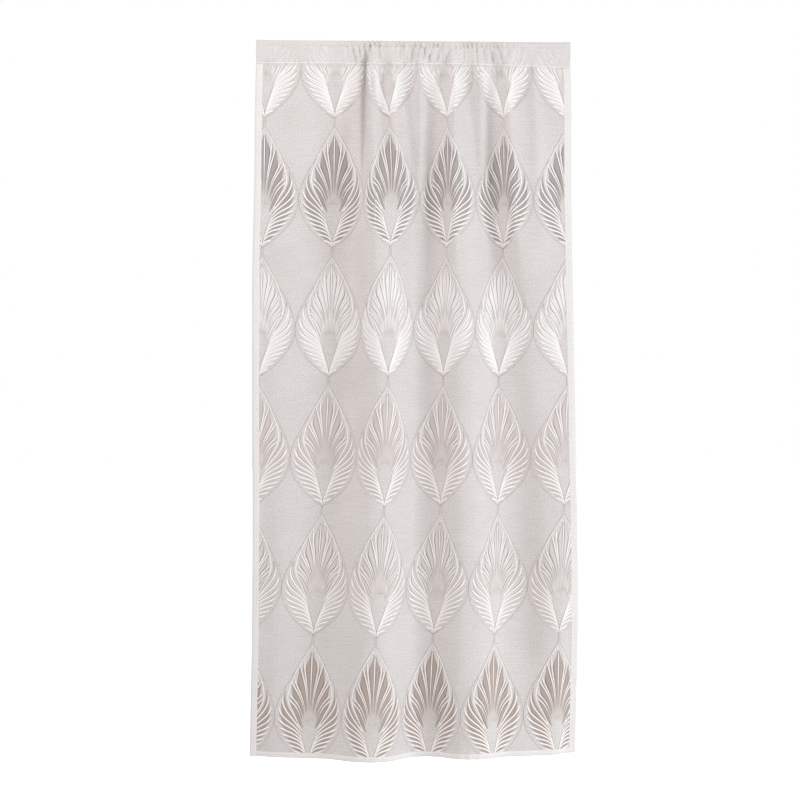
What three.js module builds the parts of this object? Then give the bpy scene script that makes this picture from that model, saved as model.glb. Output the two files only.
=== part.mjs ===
// A lace door curtain, hanging from the rod pocket sewn along its top.
// Millimetres. +X runs to the right along the top edge as seen from the room, -Y faces the room
// and +Z is up. The origin is the middle of the top edge, where the cloth goes over the rod.

import * as THREE from "three";

// The cloth, laid flat
const FLAT_WIDTH = 915;
const DROP = 1800;
const SIDE_HEM = 17;
const BOTTOM_HEM = 13;
const LACE_THICK = 1.2;
const HEM_THICK = 2.2;
const HEM_RAMP = 1.5;

// The rod pocket: the top of the cloth turned over to the back and stitched down
const POCKET_DEPTH = 58;
const SEAM_DIP = 6;
const ROD_SPACE = 13;
const SEAM_ALLOWANCE = 3;
const SEAM_SLIT = 0.6;
const NEIGHBOUR_GAP = 0.3;

// Fine gathers where the cloth is pushed together on the rod
const GATHER_FROM = -178;
const GATHER_TO = 248;
const GATHER_FADE = 24;
const GATHER_PITCH = 11.5;
const GATHER_HEIGHT = 4.8;
const GATHER_REACH = 70;

// Mesh steps, measured along the flat cloth
const FOLDED_FROM = 215;
const FOLDED_TO = 855;
const FOLDED_STEP = 10.8;
const FLAT_STEP = 29;
const ROW_COUNT = 20;
const ROW_CROWDING = 1.3;
const MEASURE_STEPS = 560;

// Where the side edges of the hung cloth lie, at a few distances below the top edge
const EDGES = [
  { below: 0, left: -393, right: 391 },
  { below: 110, left: -398, right: 396 },
  { below: 350, left: -401, right: 397 },
  { below: 600, left: -406, right: 402 },
  { below: 900, left: -406, right: 409 },
  { below: 1430, left: -407, right: 417 },
  { below: 1800, left: -414, right: 414 },
];

// The main folds: lines along which the hung cloth turns. For each distance below the top edge
// in FOLD_LEVELS, at is the line's place across the curtain and out is how far the cloth stands
// out towards the room there. The first and last lines are the two side edges.
const FOLD_LEVELS = [58, 250, 480, 860, 1350, 1800];
const FOLD_LINES = [
  { name: "left edge", at: [-395, -400, -404, -406, -407, -414], out: [0, -3, -5, -8, -18, -38] },
  { name: "left swell", at: [-328, -328, -326, -325, -325, -330], out: [0, 1, 1, 1, 1, -12] },
  { name: "left dip", at: [-230, -188, -174, -173, -226, -268], out: [0, -8, -17, -16, -12, -4] },
  { name: "big fold", at: [-104, -101, -95, -86, -97, -100], out: [0, 27, 57, 65, 66, 68] },
  { name: "middle trough", at: [30, 46, 48, 36, 32, 25], out: [0, -10, -25, -32, -26, -16] },
  { name: "second fold", at: [100, 104, 118, 126, 132, 140], out: [0, 14, 27, 29, 31, 38] },
  { name: "right trough", at: [190, 196, 208, 227, 262, 258], out: [0, -15, -38, -47, -45, -8] },
  { name: "right fold", at: [236, 248, 276, 330, 362, 340], out: [0, 8, 5, -20, -6, -16] },
  { name: "right edge", at: [394, 396, 400, 409, 416, 414], out: [0, -4, -8, -22, -18, -50] },
];
const FOLD_SOFTNESS = 1.75;

// The small folds that start at the pocket and melt into the main ones further down. slant is how
// far a fold drifts to the right over 100 mm of drop, and header is its share at the seam.
const SMALL_FOLDS = [
  { at: -186, slant: 1, out: 7, half: 17, runs: 420, header: 0.4 },
  { at: -122, slant: -1, out: -17, half: 8, runs: 480, header: 0.7 },
  { at: -104, slant: 1, out: 19, half: 13, runs: 560, header: 0.5 },
  { at: -52, slant: 2, out: 17, half: 14, runs: 480, header: 0.45 },
  { at: 15, slant: 1, out: 19, half: 16, runs: 560, header: 0.45 },
  { at: 101, slant: -1, out: 20, half: 16, runs: 640, header: 0.4 },
  { at: 165, slant: 3, out: 18, half: 15, runs: 560, header: 0.4 },
  { at: 232, slant: 5, out: 17, half: 16, runs: 600, header: 0.35 },
  { at: 301, slant: 4, out: 9, half: 17, runs: 460, header: 0.3 },
];
const SMALL_FOLDS_GROWN = 60;

// A slow unevenness over the whole cloth
const RIPPLE = 1.6;
const RIPPLE_ACROSS = 47;
const RIPPLE_DOWN = 190;

const smooth = (from, to, value) => THREE.MathUtils.smoothstep(value, from, to);
const mix = THREE.MathUtils.lerp;

// A smooth curve through values given at rising places
function through(places, values, place) {
  const last = places.length - 1;
  if (place <= places[0]) return values[0];
  if (place >= places[last]) return values[last];
  const k = places.findIndex((next) => next > place) - 1;
  const slope = (i) => {
    const low = Math.max(i - 1, 0);
    const high = Math.min(i + 1, last);
    return (values[high] - values[low]) / (places[high] - places[low]);
  };
  const span = places[k + 1] - places[k];
  const t = (place - places[k]) / span;
  const t2 = t * t;
  const t3 = t2 * t;
  return (2 * t3 - 3 * t2 + 1) * values[k] + (t3 - 2 * t2 + t) * span * slope(k)
    + (3 * t2 - 2 * t3) * values[k + 1] + (t3 - t2) * span * slope(k + 1);
}

const edgeAt = (side, below) =>
  through(EDGES.map((row) => row.below), EDGES.map((row) => row[side]), below);

// Between two neighbouring lines the cloth crosses in one soft S
function mainFolds(below) {
  const lines = FOLD_LINES.map((line) => ({
    at: through(FOLD_LEVELS, line.at, below),
    out: through(FOLD_LEVELS, line.out, below),
  }));
  return (x) => {
    let out = lines[0].out;
    for (let k = 1; k < lines.length; k++) {
      const middle = (lines[k].at + lines[k - 1].at) / 2;
      const half = (lines[k].at - lines[k - 1].at) / 2;
      const crossed = 0.5 + 0.5 * Math.tanh(FOLD_SOFTNESS * (x - middle) / half);
      out += (lines[k].out - lines[k - 1].out) * crossed;
    }
    return out;
  };
}

function smallFolds(x, below) {
  let out = 0;
  for (const fold of SMALL_FOLDS) {
    const down = below - POCKET_DEPTH;
    const grown = mix(fold.header, 1, smooth(0, SMALL_FOLDS_GROWN, down));
    const left = 1 - smooth(0.3 * fold.runs, fold.runs, down);
    const at = fold.at + fold.slant * down / 100;
    out += fold.out * grown * left * Math.exp(-(((x - at) / fold.half) ** 2));
  }
  return out;
}

const ripple = (x, below) =>
  RIPPLE * Math.sin(x / RIPPLE_ACROSS + below / RIPPLE_DOWN) * Math.sin(below / RIPPLE_DOWN - x / 310);

// Uneven fine gathers: a whole phase is a ridge and a half phase is the valley beside it
const gatherPhase = (x) => x / GATHER_PITCH + 0.3 * Math.sin(x / 29) + 0.14 * Math.sin(x / 12.1 + 2);

function gatherAt(x, below) {
  const inside = smooth(GATHER_FROM, GATHER_FROM + GATHER_FADE, x)
    * (1 - smooth(GATHER_TO - GATHER_FADE, GATHER_TO, x));
  const left = 1 - smooth(0, GATHER_REACH, below - POCKET_DEPTH);
  const uneven = 0.78 + 0.22 * Math.sin(x / 21);
  return GATHER_HEIGHT * inside * left * uneven * (0.2 + 0.5 * Math.cos(2 * Math.PI * gatherPhase(x)));
}

// One level of the hung cloth. The folds are made just deep enough for the level to use up the
// whole flat width, and place(flat) then finds a thread by its distance across the flat cloth.
function hangLevel(below) {
  const left = edgeAt("left", below);
  const right = edgeAt("right", below);
  const main = mainFolds(below);
  const xs = [];
  const folds = [];
  const gathers = [];
  for (let k = 0; k <= MEASURE_STEPS; k++) {
    const x = mix(left, right, k / MEASURE_STEPS);
    xs.push(x);
    folds.push(main(x) + smallFolds(x, below) + ripple(x, below));
    gathers.push(gatherAt(x, below));
  }
  const step = xs[1] - xs[0];
  const measure = (depth) => {
    const flats = [0];
    for (let k = 1; k <= MEASURE_STEPS; k++) {
      const rise = depth * (folds[k] - folds[k - 1]) + gathers[k] - gathers[k - 1];
      flats.push(flats[k - 1] + Math.hypot(step, rise));
    }
    return flats;
  };
  let low = 0;
  let high = 3;
  for (let k = 0; k < 30; k++) {
    const middle = (low + high) / 2;
    if (measure(middle)[MEASURE_STEPS] < FLAT_WIDTH) low = middle;
    else high = middle;
  }
  const depth = low;
  const flats = measure(depth);
  const place = (flat) => {
    const next = flats.findIndex((value) => value >= flat);
    const k = next < 1 ? (next === 0 ? 1 : MEASURE_STEPS) : next;
    const t = (flat - flats[k - 1]) / (flats[k] - flats[k - 1]);
    const slope = depth * (folds[k] - folds[k - 1]) / step;
    return { x: mix(xs[k - 1], xs[k], t), out: depth * mix(folds[k - 1], folds[k], t), slope };
  };
  const flatAt = (x) => {
    const k = THREE.MathUtils.clamp(Math.ceil((x - left) / step), 1, MEASURE_STEPS);
    return mix(flats[k - 1], flats[k], (x - xs[k - 1]) / step);
  };
  return { depth, place, flatAt };
}

const seamBelow = (x) => POCKET_DEPTH + SEAM_DIP * smooth(60, 400, x);

// Thickness of the cloth at a place on the flat curtain, more where a hem is turned
function thickness(flat, below) {
  const fromSide = Math.min(flat, FLAT_WIDTH - flat);
  const sideHem = 1 - smooth(SIDE_HEM, SIDE_HEM + HEM_RAMP, fromSide);
  const bottomHem = smooth(DROP - BOTTOM_HEM - HEM_RAMP, DROP - BOTTOM_HEM, below);
  return mix(LACE_THICK, HEM_THICK, Math.max(sideHem, bottomHem));
}

function evenSteps(from, to, step) {
  const count = Math.round((to - from) / step);
  return Array.from({ length: count }, (_, k) => mix(from, to, k / count));
}

// A closed skin put together from lines of points
class Skin {
  constructor() {
    this.points = [];
    this.corners = [];
  }

  point(x, y, z) {
    this.points.push(x, y, z);
    return this.points.length / 3 - 1;
  }

  // Faces between two lines of points that run side by side
  strip(a, b) {
    for (let k = 0; k < a.length - 1; k++) {
      this.corners.push(a[k], a[k + 1], b[k + 1]);
      this.corners.push(a[k], b[k + 1], b[k]);
    }
  }

  mesh(name, color) {
    const geometry = new THREE.BufferGeometry();
    geometry.setAttribute("position", new THREE.Float32BufferAttribute(this.points, 3));
    geometry.setIndex(this.corners);
    geometry.computeVertexNormals();
    const finish = new THREE.MeshStandardMaterial({ color, roughness: 0.85, metalness: 0 });
    const mesh = new THREE.Mesh(geometry, finish);
    mesh.name = name;
    return mesh;
  }
}

// The hanging cloth below the pocket seam, with its side hems and its bottom hem
function lacePanel() {
  const columns = [
    0,
    SIDE_HEM,
    ...evenSteps(SIDE_HEM + HEM_RAMP, FOLDED_FROM, FLAT_STEP),
    ...evenSteps(FOLDED_FROM, FOLDED_TO, FOLDED_STEP),
    ...evenSteps(FOLDED_TO, FLAT_WIDTH - SIDE_HEM - HEM_RAMP, FLAT_STEP / 2),
    FLAT_WIDTH - SIDE_HEM - HEM_RAMP,
    FLAT_WIDTH - SIDE_HEM,
    FLAT_WIDTH,
  ];
  const hemTop = DROP - BOTTOM_HEM - HEM_RAMP;
  const rows = [];
  for (let k = 0; k <= ROW_COUNT; k++) {
    rows.push(mix(POCKET_DEPTH, hemTop, (k / ROW_COUNT) ** ROW_CROWDING));
  }
  rows.push(DROP - BOTTOM_HEM, DROP);

  const skin = new Skin();
  const levels = rows.map(hangLevel);
  const fronts = [];
  const backs = [];
  for (const flat of columns) {
    const front = [];
    const back = [];
    rows.forEach((below, k) => {
      const { x, out, slope } = levels[k].place(flat);
      const z = k === 0 ? -(seamBelow(x) + NEIGHBOUR_GAP / 2) : -below;
      const half = thickness(flat, below) / 2;
      const lean = new THREE.Vector2(-slope, -1).normalize().multiplyScalar(half);
      front.push(skin.point(x + lean.x, -out + lean.y, z));
      back.push(skin.point(x - lean.x, -out - lean.y, z));
    });
    fronts.push(front);
    backs.push(back);
  }
  const last = columns.length - 1;
  for (let k = 0; k < last; k++) {
    skin.strip(fronts[k], fronts[k + 1]);
    skin.strip(backs[k + 1], backs[k]);
  }
  skin.strip(backs[0], fronts[0]);
  skin.strip(fronts[last], backs[last]);
  const across = (lines, row) => lines.map((line) => line.at(row));
  skin.strip(across(fronts, 0), across(backs, 0));
  skin.strip(across(backs, -1), across(fronts, -1));
  return skin.mesh("lace_panel", 0xe9e3e1);
}

// The pocket's section at one place across the curtain, as a loop of points that goes up the
// front, over the rod and down the back. side is 1 for the outer face and -1 for the inner one.
function pocketSection(x, seamOut, gather, thick, side) {
  const wall = ROD_SPACE / 2 + LACE_THICK / 2;
  const face = side * thick / 2;
  const rodCentre = wall + LACE_THICK / 2;
  const seam = seamBelow(x) - NEIGHBOUR_GAP / 2;
  const bottom = side > 0 ? seam : seam - SEAM_ALLOWANCE;
  const bottomHalf = side > 0 ? SEAM_SLIT / 2 + thick : SEAM_SLIT / 2;
  const loop = [];
  const wallPoint = (down, forward) => {
    const share = (down - rodCentre) / (seam - rodCentre);
    const half = mix(wall, SEAM_SLIT / 2 + LACE_THICK / 2, share ** 0.85) + face;
    const spread = forward > 0 ? 1 : mix(-1, 1, share);
    return [-forward * half - seamOut * share - gather * spread, -down];
  };
  const shares = [0.62, 0.3];
  const bottomY = (forward) => -forward * bottomHalf - seamOut - gather;
  loop.push([bottomY(1), -bottom]);
  for (const share of shares) loop.push(wallPoint(mix(rodCentre, seam, share), 1));
  for (const degrees of [180, 135, 90, 45, 0]) {
    const turn = THREE.MathUtils.degToRad(degrees);
    const reach = wall + face + gather * (side > 0 || gather > 0 ? 1 : 0);
    const lift = wall + face;
    loop.push([Math.cos(turn) * reach, Math.sin(turn) * lift - rodCentre]);
  }
  for (const share of shares.toReversed()) loop.push(wallPoint(mix(rodCentre, seam, share), -1));
  loop.push([bottomY(-1), -bottom]);
  return loop;
}

// The heading with its pocket, open at both ends
function rodPocket() {
  const level = hangLevel(POCKET_DEPTH);
  const hemColumns = [0, SIDE_HEM, SIDE_HEM + HEM_RAMP];
  const columns = hemColumns.map((flat) => ({ flat, ...level.place(flat) }));
  const plain = (from, to) => {
    for (const x of evenSteps(from, to, FLAT_STEP)) columns.push({ ...level.place(level.flatAt(x)), x });
  };
  plain(columns.at(-1).x + FLAT_STEP, GATHER_FROM);
  const walk = 0.25;
  for (let x = GATHER_FROM; x < GATHER_TO; x += walk) {
    const turns = Math.floor(2 * gatherPhase(x + walk)) !== Math.floor(2 * gatherPhase(x));
    if (turns) columns.push({ ...level.place(level.flatAt(x)), x });
  }
  const rightHem = hemColumns.map((flat) => FLAT_WIDTH - flat).reverse();
  const rightColumns = rightHem.map((flat) => ({ flat, ...level.place(flat) }));
  plain(GATHER_TO + FLAT_STEP / 2, rightColumns[0].x);
  columns.push(...rightColumns);

  const skin = new Skin();
  const outers = [];
  const inners = [];
  for (const { x, out, flat } of columns) {
    const atHem = flat !== undefined && Math.min(flat, FLAT_WIDTH - flat) <= SIDE_HEM;
    const thick = atHem ? HEM_THICK : LACE_THICK;
    const gather = gatherAt(x, POCKET_DEPTH);
    const close = (loop) => [...loop, loop[0]];
    const ring = (side) => close(
      pocketSection(x, out, gather, side > 0 ? thick : LACE_THICK, side)
        .map(([y, z]) => skin.point(x, y, z)),
    );
    outers.push(ring(1));
    inners.push(ring(-1));
  }
  const last = columns.length - 1;
  for (let k = 0; k < last; k++) {
    skin.strip(outers[k + 1], outers[k]);
    skin.strip(inners[k], inners[k + 1]);
  }
  skin.strip(outers[0], inners[0]);
  skin.strip(inners[last], outers[last]);
  return skin.mesh("rod_pocket", 0xf1edeb);
}

const curtain = new THREE.Group();
curtain.add(lacePanel());
curtain.add(rodPocket());

export default curtain;
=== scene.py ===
# %% [markdown]
# # A lace door curtain
# The curtain is one length of semi-sheer patterned cloth. Its top is turned to the back and
# stitched down as a pocket for a thin rod, both sides and the bottom are hemmed, and rows of
# leaves are woven into it with a raised white yarn. This lesson builds the cloth on the folds of
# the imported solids, weaves the leaves once and spreads them with Geometry Nodes, hangs them on
# the same folds, and sews the seams.

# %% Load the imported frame
import math

import bmesh
import bpy
import numpy as np
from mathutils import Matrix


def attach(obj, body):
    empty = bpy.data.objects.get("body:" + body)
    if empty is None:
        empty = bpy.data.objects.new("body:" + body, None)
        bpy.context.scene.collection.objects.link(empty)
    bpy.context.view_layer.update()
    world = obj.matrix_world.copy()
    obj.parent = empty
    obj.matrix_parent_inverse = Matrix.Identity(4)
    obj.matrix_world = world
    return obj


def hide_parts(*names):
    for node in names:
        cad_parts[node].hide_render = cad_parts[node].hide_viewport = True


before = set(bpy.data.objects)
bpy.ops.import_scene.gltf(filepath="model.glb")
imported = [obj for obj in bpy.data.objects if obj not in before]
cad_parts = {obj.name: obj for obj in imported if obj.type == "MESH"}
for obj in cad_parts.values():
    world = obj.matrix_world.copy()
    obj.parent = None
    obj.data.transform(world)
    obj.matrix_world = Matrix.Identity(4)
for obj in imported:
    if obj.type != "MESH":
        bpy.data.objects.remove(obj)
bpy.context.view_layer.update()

MM = 0.001

# %% [markdown]
# ## The sizes of the cut cloth
# A maker works in millimetres on the flat cloth: across from the left edge (flat), down from the
# top edge (below) and out from the middle of the cloth (lift). The solids use the same sizes.

# %% Sizes on the flat cloth, in millimetres
FLAT_WIDTH = 915.0
DROP = 1800.0
SIDE_HEM = 17.0
BOTTOM_HEM = 13.0
HEM_RAMP = 1.5
LACE_THICK = 1.2
HEM_THICK = 2.2
POCKET_DEPTH = 58.0
SEAM_DIP = 6.0
SEAM_DIP_FROM = 60.0
SEAM_DIP_TO = 400.0
ROD_SPACE = 13.0
SEAM_ALLOWANCE = 3.0
SEAM_SLIT = 0.6
SEAM_GAP = 0.1
print("finished curtain, mm:", FLAT_WIDTH, "by", DROP)

# %% [markdown]
# ## How the cloth hangs
# A cloth simulation could drape the panel, but it would find folds of its own. The folds in which
# this curtain hangs are known, so they are given in a short table of the lines along which the
# cloth turns, at six levels, with a soft S between neighbouring lines. Small folds start at the
# pocket and melt away, and fine gathers sit on the rod. At each level the folds are then made
# just deep enough to use up the whole flat width, as a real cloth can't stretch.

# %% The tables of folds
EDGE_LEVELS = [0, 110, 350, 600, 900, 1430, 1800]
LEFT_EDGE = [-393, -398, -401, -406, -406, -407, -414]
RIGHT_EDGE = [391, 396, 397, 402, 409, 417, 414]

FOLD_LEVELS = [58, 250, 480, 860, 1350, 1800]
FOLD_LINES = {
    "left edge": {"at": [-395, -400, -404, -406, -407, -414], "out": [0, -3, -5, -8, -18, -38]},
    "left swell": {"at": [-328, -328, -326, -325, -325, -330], "out": [0, 1, 1, 1, 1, -12]},
    "left dip": {"at": [-230, -188, -174, -173, -226, -268], "out": [0, -8, -17, -16, -12, -4]},
    "big fold": {"at": [-104, -101, -95, -86, -97, -100], "out": [0, 27, 57, 65, 66, 68]},
    "middle trough": {"at": [30, 46, 48, 36, 32, 25], "out": [0, -10, -25, -32, -26, -16]},
    "second fold": {"at": [100, 104, 118, 126, 132, 140], "out": [0, 14, 27, 29, 31, 38]},
    "right trough": {"at": [190, 196, 208, 227, 262, 258], "out": [0, -15, -38, -47, -45, -8]},
    "right fold": {"at": [236, 248, 276, 330, 362, 340], "out": [0, 8, 5, -20, -6, -16]},
    "right edge": {"at": [394, 396, 400, 409, 416, 414], "out": [0, -4, -8, -22, -18, -50]},
}
FOLD_SOFTNESS = 1.75

SMALL_FOLDS = [
    {"at": -186, "slant": 1, "out": 7, "half": 17, "runs": 420, "header": 0.4},
    {"at": -122, "slant": -1, "out": -17, "half": 8, "runs": 480, "header": 0.7},
    {"at": -104, "slant": 1, "out": 19, "half": 13, "runs": 560, "header": 0.5},
    {"at": -52, "slant": 2, "out": 17, "half": 14, "runs": 480, "header": 0.45},
    {"at": 15, "slant": 1, "out": 19, "half": 16, "runs": 560, "header": 0.45},
    {"at": 101, "slant": -1, "out": 20, "half": 16, "runs": 640, "header": 0.4},
    {"at": 165, "slant": 3, "out": 18, "half": 15, "runs": 560, "header": 0.4},
    {"at": 232, "slant": 5, "out": 17, "half": 16, "runs": 600, "header": 0.35},
    {"at": 301, "slant": 4, "out": 9, "half": 17, "runs": 460, "header": 0.3},
]
SMALL_FOLDS_GROWN = 60.0

GATHER_FROM = -178.0
GATHER_TO = 248.0
GATHER_FADE = 24.0
GATHER_PITCH = 11.5
GATHER_HEIGHT = 4.8
GATHER_REACH = 70.0
GATHER_SHOWN = 0.5

RIPPLE = 1.6
RIPPLE_ACROSS = 47.0
RIPPLE_DOWN = 190.0
RIPPLE_DRIFT = 310.0
print("fold lines:", len(FOLD_LINES), "small folds:", len(SMALL_FOLDS))


# %% Curves through the tables
def smooth(start, end, value):
    """From 0 at the start to 1 at the end, with a soft S between."""
    t = np.clip((value - start) / (end - start), 0.0, 1.0)
    return t * t * (3.0 - 2.0 * t)


def mix(a, b, t):
    """The value that lies the share t of the way from a to b."""
    return a + (b - a) * t


def through(places, values, place):
    """A smooth curve through values given at rising places, read at one place."""
    if place <= places[0]:
        return float(values[0])
    if place >= places[-1]:
        return float(values[-1])
    k = next(i for i, later in enumerate(places) if later > place) - 1

    def slope(i):
        low = max(i - 1, 0)
        high = min(i + 1, len(places) - 1)
        return (values[high] - values[low]) / (places[high] - places[low])

    span = places[k + 1] - places[k]
    t = (place - places[k]) / span
    ease = 3 * t * t - 2 * t ** 3
    start = (t ** 3 - 2 * t * t + t) * span * slope(k)
    end = (t ** 3 - t * t) * span * slope(k + 1)
    return float(mix(values[k], values[k + 1], ease) + start + end)


def main_folds(x, below):
    """How far out the cloth is at each x, from the fold lines and the soft S between them."""
    at = [through(FOLD_LEVELS, line["at"], below) for line in FOLD_LINES.values()]
    out = [through(FOLD_LEVELS, line["out"], below) for line in FOLD_LINES.values()]
    height = np.full_like(x, out[0])
    for k in range(1, len(at)):
        middle = (at[k] + at[k - 1]) / 2
        half = (at[k] - at[k - 1]) / 2
        crossed = 0.5 + 0.5 * np.tanh(FOLD_SOFTNESS * (x - middle) / half)
        height += (out[k] - out[k - 1]) * crossed
    return height


def small_folds(x, below):
    """Short ridges and valleys that start at the pocket and melt away below it."""
    down = below - POCKET_DEPTH
    height = np.zeros_like(x)
    for fold in SMALL_FOLDS:
        grown = mix(fold["header"], 1.0, smooth(0.0, SMALL_FOLDS_GROWN, down))
        left = 1.0 - smooth(0.3 * fold["runs"], fold["runs"], down)
        at = fold["at"] + fold["slant"] * down / 100
        height += fold["out"] * grown * left * np.exp(-(((x - at) / fold["half"]) ** 2))
    return height


def ripple(x, below):
    """A faint waviness all over, so that no stretch of cloth is quite plain."""
    across = np.sin(x / RIPPLE_ACROSS + below / RIPPLE_DOWN)
    return RIPPLE * across * np.sin(below / RIPPLE_DOWN - x / RIPPLE_DRIFT)


def gathers(x, below):
    """Fine gathers that fade below the pocket; their spacing and height wander a little."""
    inside = smooth(GATHER_FROM, GATHER_FROM + GATHER_FADE, x)
    inside = inside * (1.0 - smooth(GATHER_TO - GATHER_FADE, GATHER_TO, x))
    left = 1.0 - smooth(0.0, GATHER_REACH, below - POCKET_DEPTH)
    phase = x / GATHER_PITCH + 0.3 * np.sin(x / 29) + 0.14 * np.sin(x / 12.1 + 2)
    uneven = 0.78 + 0.22 * np.sin(x / 21)
    return GATHER_HEIGHT * inside * left * uneven * (0.2 + 0.5 * np.cos(2 * np.pi * phase))


def pleats(x, below):
    """The gathers as they are seen: some stand up, and others are pressed nearly flat."""
    return gathers(x, below) * (0.66 + 0.34 * np.sin(x / 9.7 + 1.6 * np.sin(x / 41.0)))


def seam_below(x):
    """The seam under the pocket, which dips at the right."""
    return POCKET_DEPTH + SEAM_DIP * smooth(SEAM_DIP_FROM, SEAM_DIP_TO, x)


print("depth of the pocket, mm:", seam_below(0.0), "at the middle,", seam_below(SEAM_DIP_TO), "at the right")

# %% One level of the hung cloth, measured along the cloth
LEVEL_SAMPLES = 1600
THREADS = 732
DEEPEST = 3.0
DEPTH_TRIES = 24
FLATS = np.linspace(0.0, FLAT_WIDTH, THREADS)


def hang_level(below):
    """Where the threads at FLATS are, across and out, at one distance below the top edge, and the
    factor that makes the folds there deep enough."""
    left = through(EDGE_LEVELS, LEFT_EDGE, below)
    right = through(EDGE_LEVELS, RIGHT_EDGE, below)
    x = np.linspace(left, right, LEVEL_SAMPLES)
    folds = main_folds(x, below) + small_folds(x, below) + ripple(x, below)
    fine = gathers(x, below)

    def measure(depth):
        steps = np.hypot(np.diff(x), np.diff(depth * folds + fine))
        return np.concatenate([[0.0], np.cumsum(steps)])

    low = 0.0
    high = DEEPEST
    for _ in range(DEPTH_TRIES):
        middle = (low + high) / 2
        if measure(middle)[-1] < FLAT_WIDTH:
            low = middle
        else:
            high = middle
    along = measure(low)
    along *= FLAT_WIDTH / along[-1]
    out = low * folds + GATHER_SHOWN * pleats(x, below)
    return np.interp(FLATS, along, x), np.interp(FLATS, along, out), low


NEAR_SEAM = 150.0
LEVELS = np.concatenate([
    np.arange(POCKET_DEPTH, NEAR_SEAM, 4.0), np.arange(NEAR_SEAM, DROP + 12.0, 11.0),
])
hung = [hang_level(level) for level in LEVELS]
HUNG_X = np.array([row[0] for row in hung])
HUNG_OUT = np.array([row[1] for row in hung])
LEAN_X = np.gradient(HUNG_X, FLATS, axis=1)
LEAN_OUT = np.gradient(HUNG_OUT, FLATS, axis=1)
depths = [row[2] for row in hung]
print("levels:", len(LEVELS), "fold depth from", round(min(depths), 2), "to", round(max(depths), 2))


def read_table(table, flat, below):
    """The value of a table of levels and threads, between its points."""
    row = np.clip(np.searchsorted(LEVELS, below) - 1, 0, len(LEVELS) - 2)
    t = np.clip((below - LEVELS[row]) / (LEVELS[row + 1] - LEVELS[row]), 0.0, 1.0)
    place = np.clip(flat / FLATS[1], 0.0, len(FLATS) - 1.001)
    col = place.astype(int)
    s = place - col
    upper = mix(table[row, col], table[row, col + 1], s)
    lower = mix(table[row + 1, col], table[row + 1, col + 1], s)
    return mix(upper, lower, t)


SIDE_PUCKER = 0.45
SIDE_PUCKER_REACH = 20.0
FOOT_PUCKER = 1.1
FOOT_PUCKER_REACH = 16.0
FRONT_SHIFT_END = 84.0


def puckers(flat, below):
    """Small waves where the hems are sewn, uneven along each hem."""
    from_side = np.minimum(flat, FLAT_WIDTH - flat)
    side = SIDE_PUCKER * np.exp(-((from_side / SIDE_PUCKER_REACH) ** 2))
    foot = FOOT_PUCKER * np.exp(-(((DROP - below) / FOOT_PUCKER_REACH) ** 2))
    side_wave = np.sin(below / 6.3 + 1.7 * np.sin(below / 41.0)) * (0.6 + 0.4 * np.sin(below / 97.0))
    foot_wave = np.sin(flat / 5.1 + 1.9 * np.sin(flat / 33.0)) * (0.6 + 0.4 * np.sin(flat / 71.0))
    return side * side_wave + foot * foot_wave


def placed(x, out, below):
    """Points in metres, from places across, out and below in mm."""
    return np.stack([x * MM, -out * MM, -below * MM], axis=-1)


def lifted(x, out, turn_x, turn_out, lift):
    """Move points off the cloth, square to the direction in which its threads turn."""
    size = np.hypot(turn_x, turn_out)
    return x - lift * turn_out / size, out + lift * turn_x / size


def hang(flat, below, lift):
    """Points of the flat cloth, in mm, moved to where they hang, in metres."""
    flat, below, lift = np.broadcast_arrays(*(np.asarray(v, float) for v in (flat, below, lift)))
    tables = (HUNG_X, HUNG_OUT, LEAN_X, LEAN_OUT)
    x, out = lifted(*(read_table(table, flat, below) for table in tables), lift + puckers(flat, below))
    front_shift = (SEAM_SLIT + LACE_THICK) / 2 * (1.0 - smooth(POCKET_DEPTH, FRONT_SHIFT_END, below))
    return placed(x, out + front_shift, below)


# %% [markdown]
# ## Cloth as a closed skin
# Each cloth is a front and a back grid of points, joined round the edge, so it is a closed body
# with a real thickness, and it carries a UV map in metres of flat cloth for its weave.

# %% Turn grids of points into a mesh object
UV_NAME = "FlatCloth"


def grid_faces(rows, cols, start=0, flip=False):
    """Four-sided faces over a grid of point numbers."""
    index = start + np.arange(rows * cols).reshape(rows, cols)
    quads = np.stack([index[:-1, :-1], index[1:, :-1], index[1:, 1:], index[:-1, 1:]], axis=-1)
    quads = quads.reshape(-1, 4)
    return quads[:, ::-1] if flip else quads


def seam_faces(a, b):
    """Faces between two lines of point numbers that run side by side."""
    return np.stack([a[:-1], a[1:], b[1:], b[:-1]], axis=-1)


def add_object(name, content):
    """A new object at the origin, with a mesh, a lamp or a camera in it."""
    piece = bpy.data.objects.new(name, content)
    bpy.context.scene.collection.objects.link(piece)
    return piece


def map_flat_cloth(mesh, flat_map):
    """Give each corner of a mesh its point's place on the flat cloth, and return the corners."""
    layer = mesh.uv_layers.new(name=UV_NAME)
    corners = np.zeros(len(mesh.loops), dtype=np.int32)
    mesh.loops.foreach_get("vertex_index", corners)
    layer.data.foreach_set("uv", flat_map[corners].ravel().astype(np.float32))
    return corners


def shade_smooth(mesh):
    """Let light run smoothly over the edges between faces."""
    mesh.polygons.foreach_set("use_smooth", np.ones(len(mesh.polygons), dtype=bool))


def count_triangles(mesh):
    return sum(len(face.vertices) - 2 for face in mesh.polygons)


def mesh_object(name, points, faces, material, flat_map):
    mesh = bpy.data.meshes.new(name)
    mesh.from_pydata(points.reshape(-1, 3).tolist(), [], faces.tolist())
    mesh.validate()
    map_flat_cloth(mesh, flat_map)
    shade_smooth(mesh)
    mesh.materials.append(material)
    print(name, "faces:", len(mesh.polygons))
    return add_object(name, mesh)


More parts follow.
